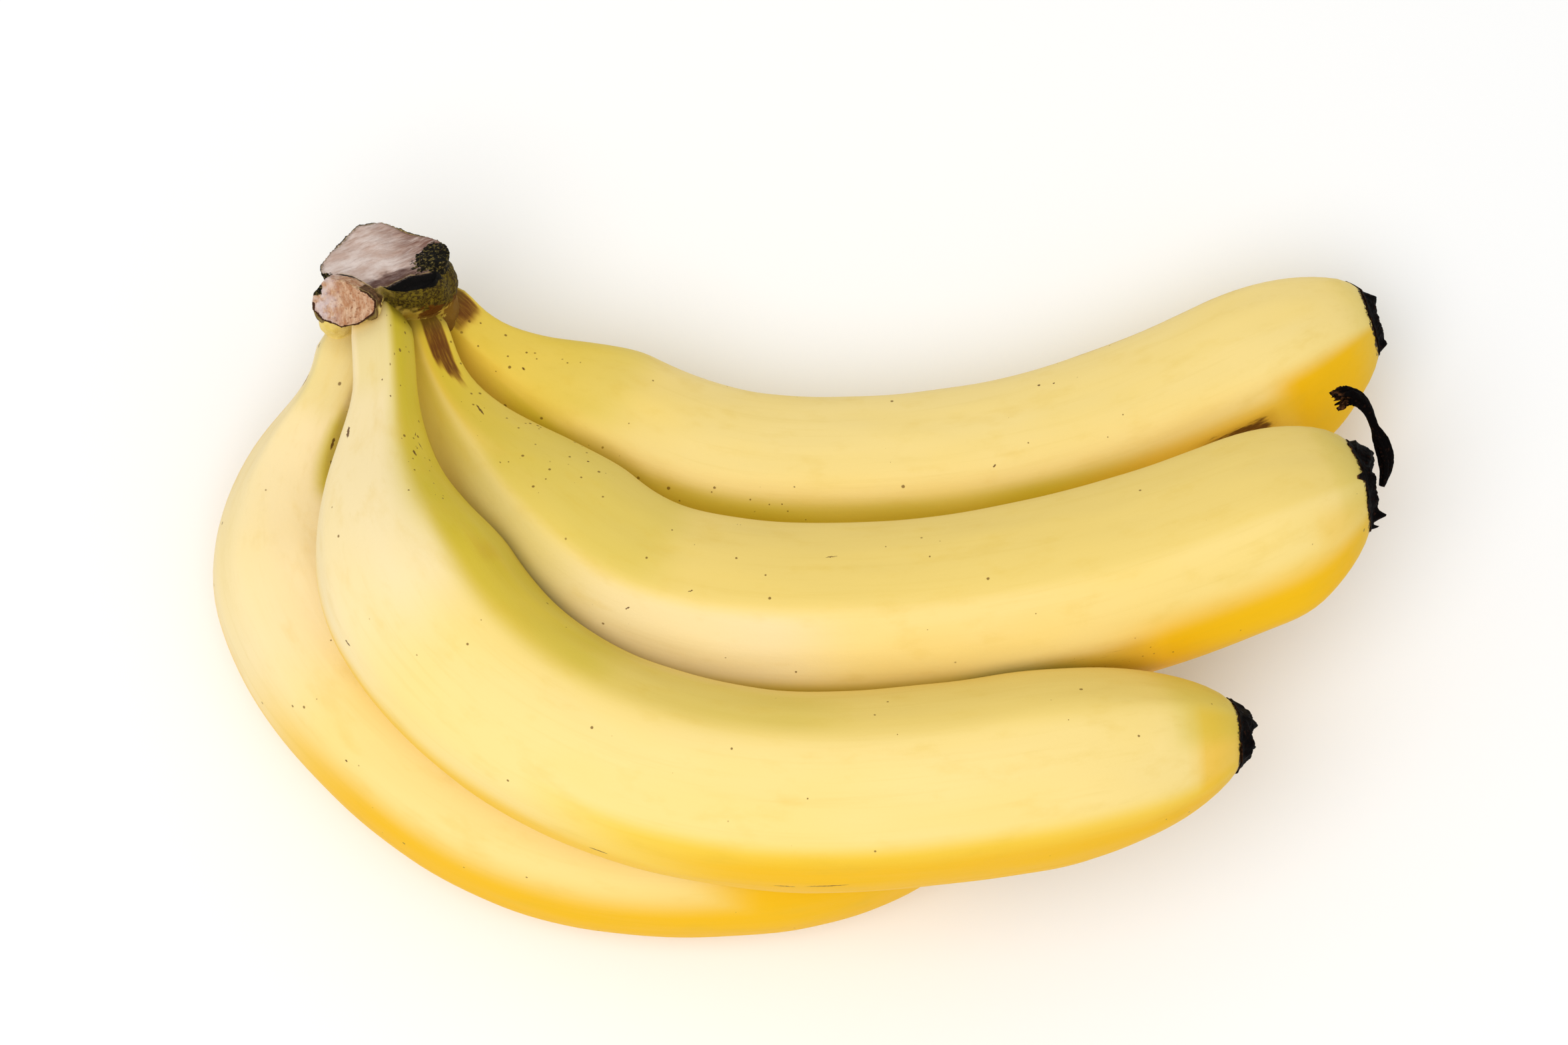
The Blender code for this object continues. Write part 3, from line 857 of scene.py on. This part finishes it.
def mark_group():
    """One small mark with a ragged outline. Turn is (0, slant, bearing) in radians."""
    group, given, mask = new_group(
        "skin mark", "Mask", Vector=None, Place=None, Turn=None, Long=0.001, Wide=0.0005)
    wobble = cloud(group, given["Vector"], 2600.0, 4.0, 0.5, "Color")
    nudged = vector_maths(group, "SCALE", vector_maths(group, "SUBTRACT", wobble, (0.5, 0.5, 0.5)), 0.0006)
    away = vector_maths(group, "SUBTRACT", given["Vector"], given["Place"])
    moved = vector_maths(group, "ADD", away, nudged)
    slant, bearing = (part_of(group, given["Turn"], axis) for axis in (1, 2))
    level = node(group, "VectorRotate", {"Vector": moved, "Angle": bearing},
                 rotation_type="Z_AXIS", invert=True).outputs[0]
    slanted = node(group, "VectorRotate", {"Vector": level, "Angle": slant},
                   rotation_type="X_AXIS").outputs[0]
    squares = 0.0
    for axis, half_size in ((2, given["Long"]), (1, given["Wide"]), (0, MARK_DEPTH)):
        away = maths(group, "DIVIDE", part_of(group, slanted, axis), half_size)
        squares = plus(group, squares, times(group, away, away))
    group.links.new(band(group, squares, 1.2, 0.6), mask)
    return group


DOTS = dots_group()
MARK = mark_group()
FIBRES = fibres_group()
RAGGED = ragged_group()


# ---------- materials
def mark(tree, grain, name, share, degrees, long, wide, slant):
    """Mask of one small mark on a banana: its place, half sizes in mm, and slant in degrees."""
    length = length_of(smooth_curve(BANANAS[name]["route"], LINE_POINTS))
    angle = math.radians(degrees)
    place = grain_place(name, np.array(share), angle, length) * MM
    turn = (0, -math.radians(slant), angle)
    return use(tree, MARK, Vector=grain, Place=tuple(place), Turn=turn, Long=long * MM, Wide=wide * MM)


def ripe_tone(tree, grain, blotchy, fibres):
    """Yellow, with the layers that were painted over it, painted highlight and painted shade among them."""
    broad = cloud(tree, stretched(tree, grain, (1, 1, 0.35)), 60.0, 2.0)
    patchy = plus(tree, times(tree, broad, 1.1), 0.4)
    pale, cream, green = (times(tree, attribute(tree, layer), patchy, clamp=True)
                          for layer in ("pale", "cream", "green"))
    tone = mix(tree, band(tree, broad, 0.3, 0.7), (242, 208, 92), (236, 200, 66))
    tone = coats(
        tree, tone,
        # painted highlight (pale, cream), painted shade (dull), and gold, partly painted shade
        ((244, 218, 140), pale),
        ((243, 222, 170), cream),
        ((236, 208, 120), "dull"),
        ((240, 186, 4), "gold"),
        ((204, 184, 36), green, 0.85),
        ((220, 180, 44), band(tree, blotchy, 0.5, 0.8), 0.2),
        ((204, 168, 40), band(tree, fibres, 0.5, 0.8), 0.10),
    )
    return tone, pale


def blemishes(tree, tone, grain, blotchy):
    """Bruises, brown stains from the stalk, rubbed places, freckles and single marks."""
    streaks = use(tree, FIBRES, Vector=grain, Across=2200.0, Lengthwise=300.0)
    bruised = attribute(tree, "bruise")
    core = plus(tree, bruised, times(tree, plus(tree, streaks, -0.5), 1.2))
    halo = use(tree, DOTS, Vector=grain, Scale=1100.0, Size=0.00016, Chance=times(tree, bruised, 0.7))
    soft_edge = times(tree, plus(tree, blotchy, -0.5), 0.7)
    soaked = plus(tree, attribute(tree, "stain"), soft_edge)
    stain = times(tree, band(tree, soaked, 0.35, 0.95), band(tree, streaks, 0.15, 0.60, 0.5, 1.0))
    freckled = plus(tree, times(tree, attribute(tree, "freckle"), 0.75), 0.03)
    tiny = use(tree, DOTS, Vector=grain, Scale=620.0, Size=0.00030, Chance=freckled)
    few = use(tree, DOTS, Vector=grain, Scale=220.0, Size=0.00020, Chance=0.12)
    spots = 0.0
    for name, marks in MARKS.items():
        for spot in marks:
            spots = maths(tree, "MAXIMUM", spots, mark(tree, grain, name, *spot))
    tone = coats(
        tree, tone,
        ((196, 146, 40), bruised, 0.65),
        ((88, 46, 12), band(tree, core, 0.62, 1.05), 0.9),
        ((120, 66, 16), halo, 0.6),
        ((176, 116, 20), band(tree, soaked, 0.15, 0.8), 0.7),
        ((92, 42, 8), stain, 0.9),
        ((150, 96, 46), "scuff", band(tree, streaks, 0.42, 0.58), 0.8),
        ((110, 74, 18), tiny, 0.8),
        ((96, 60, 20), few, 0.8),
        ((84, 42, 12), spots, 0.88),
    )
    return tone, stain


def peel_material():
    """Ripe banana skin, with painted shade where two bananas meet and at the necks, and darker towards the
    blossom end.
    """
    material, tree, shader = new_material("banana_skin")
    grain = attribute(tree, "grain", "Vector")
    place = object_place(tree)
    fibres = use(tree, FIBRES, Vector=grain, Across=700.0, Lengthwise=30.0)
    blotchy = cloud(tree, stretched(tree, grain, (1, 1, 0.5)), 220.0, 4.0)
    tone, pale = ripe_tone(tree, grain, blotchy, fibres)
    tone, stain = blemishes(tree, tone, grain, blotchy)

    crease_shade = attribute(tree, "crease_shade")
    along = attribute(tree, "along")
    last = band(tree, along, 0.989, 1.002)
    tone = coats(
        tree, tone,
        # painted shade where two bananas meet: an olive darkening and a thin dark line
        ((180, 152, 22), band(tree, crease_shade, 0.40, 1.0), 0.45),
        ((96, 66, 10), band(tree, crease_shade, 0.955, 0.998), 0.8),
        # painted shade on the necks where they run in under the crown, weaker where the skin is pale
        ((112, 92, 24), band(tree, along, 0.042, 0.022), band(tree, pale, 0.1, 0.6, 0.6, 0.1)),
        ((206, 190, 96), band(tree, along, 0.96, 1.0), 0.3),
        ((40, 22, 10), use(tree, RAGGED, Mask=last, Vector=place, Scale=1500.0, Rag=0.4)),
    )

    tree.links.new(band(tree, fibres, 0.2, 0.8, 0.46, 0.58), shader.inputs["Roughness"])
    height = plus(tree, times(tree, fibres, 0.35), times(tree, cloud(tree, place, 1800.0, 3.0), 0.3))
    height = plus(tree, height, times(tree, stain, -0.5))
    finish_with(tree, shader, tone, height, 0.22, 0.0004, 0.12)
    return material


def dried_material():
    """Shrivelled blossom ends: black, with brown edges, a dull shine on the folds and a few pale painted
    glints.
    """
    material, tree, shader = new_material("dried_blossom_black")
    grain = object_place(tree)
    grit = cloud(tree, grain, 1300.0, 5.0, 0.7)
    painted_glints = use(tree, DOTS, Vector=grain, Scale=900.0, Size=0.00010, Chance=0.06)
    edge = band(tree, attribute(tree, "edge"), 0.55, 1.0)
    tone = coats(
        tree, mix(tree, band(tree, grit, 0.54, 0.72), (4, 2, 2), (46, 26, 18)),
        ((104, 66, 38), edge, band(tree, grit, 0.42, 0.62)),
        # painted glints: a few pale dots on the black
        ((200, 180, 165), painted_glints, 0.8),
    )
    tree.links.new(band(tree, grit, 0.3, 0.7, 0.5, 0.8), shader.inputs["Roughness"])
    finish_with(tree, shader, tone, grit, 0.5, 0.0005, 0.03)
    return material


def stalk_skin(tree, grain, grit):
    """From the yellow of the necks, with painted shade below the cut, to speckled olive cushions, brown bark
    and a black band under the cut, partly dried and partly painted shadow.
    """
    coarse = cloud(tree, grain, 350.0, 4.0, 0.6)
    seep = use(tree, RAGGED, Mask=attribute(tree, "seep"), Vector=grain, Scale=700.0, Rag=0.5)
    dry_black_and_shadow = use(tree, RAGGED, Mask=attribute(tree, "dry_black_and_shadow"), Vector=grain, Scale=600.0, Rag=0.35)
    olive = mix(tree, band(tree, grit, 0.40, 0.62), (50, 36, 12), (112, 96, 26))
    olive = coats(tree, olive, ((46, 28, 8), band(tree, coarse, 0.5, 0.7), 0.5))
    return coats(
        tree, mix(tree, band(tree, coarse, 0.35, 0.65), (238, 214, 136), (228, 202, 106)),
        # painted shade on the skin below the cut, darker yellow to meet the shaded necks
        ((172, 144, 38), "under", 0.8),
        (olive, "cushion"),
        ((98, 50, 10), seep, 0.75),
        (mix(tree, band(tree, grit, 0.4, 0.6), (66, 42, 24), (122, 88, 52)), "bark"),
        # black band under the cut: partly dried stalk, partly painted shadow
        (mix(tree, band(tree, grit, 0.56, 0.8), (6, 4, 3), (40, 26, 18)), dry_black_and_shadow),
    )


def sawn_face(tree, flat, strands, grit):
    """Mauve-grey where the knife went through, browner to the right, dark along the lower edge."""
    haze = cloud(tree, stretched(tree, flat, (0.6, 1, 1)), 260.0, 4.0, 0.6)
    to_right = part_of(tree, flat, 0)
    drawn = band(tree, strands, 0.28, 0.60)
    stringy = band(tree, strands, 0.25, 0.60, 0.6, 1.0)
    rim = band(tree, attribute(tree, "rim"), 0.88, 1.0)
    return coats(
        tree, mix(tree, band(tree, haze, 0.35, 0.66), (198, 170, 155), (228, 212, 203)),
        ((150, 116, 100), band(tree, strands, 0.48, 0.75), 0.45),
        ((146, 104, 84), band(tree, to_right, -0.002, 0.011), 0.45),
        ((106, 62, 44), band(tree, to_right, -0.001, 0.010), drawn, 0.85),
        ((72, 38, 32), "purple", stringy, 0.9),
        ((92, 66, 52), rim, band(tree, grit, 0.35, 0.62)),
    )


def torn_face(tree, tear):
    """Tan flesh in torn strands, greyer to the left, with a thin brown lip."""
    strands = cloud(tree, stretched(tree, tear, (1, 0.45, 1)), 900.0, 5.0, 0.7)
    holes = band(tree, cloud(tree, tear, 1300.0, 3.0), 0.55, 0.68)
    veil = band(tree, cloud(tree, tear, 500.0, 4.0, 0.6), 0.35, 0.60)
    return coats(
        tree, mix(tree, band(tree, strands, 0.38, 0.66), (178, 126, 90), (216, 182, 150)),
        ((120, 66, 38), holes, 0.7),
        ((214, 200, 200), band(tree, part_of(tree, tear, 0), 0.0, -0.004), veil, 0.75),
        ((62, 34, 18), use(tree, RAGGED, Mask=attribute(tree, "lip"), Vector=tear, Scale=900.0, Rag=0.35)),
    )


def crown_material():
    """Sawn and torn stalk, with one black and olive corner."""
    material, tree, shader = new_material("crown_stalk")
    grain = object_place(tree)
    grit = cloud(tree, grain, 1600.0, 5.0, 0.7)
    flat = attribute(tree, "flat", "Vector")
    tear = attribute(tree, "tear", "Vector")
    strands = cloud(tree, stretched(tree, flat, (0.22, 1, 1)), 1500.0, 4.0, 0.6)
    cut = attribute(tree, "cut")
    corner = use(tree, RAGGED, Mask=attribute(tree, "corner"), Vector=grain, Scale=700.0, Rag=0.75)
    tone = coats(
        tree, stalk_skin(tree, grain, grit),
        (sawn_face(tree, flat, strands, grit), cut),
        (torn_face(tree, tear), "torn"),
        (mix(tree, band(tree, grit, 0.50, 0.66), (10, 7, 3), (112, 98, 50)), corner),
    )
    shader.inputs["Roughness"].default_value = 0.75
    relief = plus(tree, times(tree, times(tree, strands, cut), 0.6), times(tree, grit, 0.6))
    finish_with(tree, shader, tone, relief, 0.5, 0.0005, 0.10)
    return material


# ---------- stage, light and camera
def stage():
    nothing_selected()
    bpy.ops.mesh.primitive_plane_add(size=6, location=(0, 0, 0))
    floor = bpy.context.object
    floor.name = "table"
    material, tree, shader = new_material("pale_table")
    shader.inputs["Base Color"].default_value = colour(251, 251, 250)
    shader.inputs["Roughness"].default_value = 0.8
    floor.data.materials.append(material)


def lighting():
    """A white room and one wide, soft light above and in front."""
    world = bpy.data.worlds.new("room")
    scene.world = world
    world.use_nodes = True
    room = world.node_tree.nodes["Background"]
    room.inputs["Color"].default_value = (1, 1, 1, 1)
    room.inputs["Strength"].default_value = 0.70
    data = bpy.data.lights.new("key", "AREA")
    data.shape = "DISK"
    data.size = 1.1
    data.energy = 7.4
    light = bpy.data.objects.new("key", data)
    scene.collection.objects.link(light)
    light.location = (-0.25, -0.42, 1.1)
    light.rotation_euler = (BUNCH_MIDDLE - light.location).to_track_quat("-Z", "Y").to_euler()


def camera():
    """Looks down steeply on the middle of the bunch, from the front."""
    data = bpy.data.cameras.new("camera")
    data.lens = 104
    data.sensor_width = 36
    eye = bpy.data.objects.new("camera", data)
    scene.collection.objects.link(eye)
    target = Vector((BUNCH_PLACE[0] * MM, BUNCH_PLACE[1] * MM, 0.033))
    eye.location = target + CAMERA_AWAY * Vector((0, -math.cos(CAMERA_HEIGHT), math.sin(CAMERA_HEIGHT)))
    eye.rotation_euler = (math.radians(90) - CAMERA_HEIGHT, 0, 0)
    scene.camera = eye


lines = centre_lines()
peel = peel_material()
dried = dried_material()
for name in BANANAS:
    banana(name, lines, peel)
    dried_cap(name, lines, dried)
dried_flower(dried)
crown(lines, crown_material())
stage()
lighting()
camera()
scene.view_settings.view_transform = "Standard"
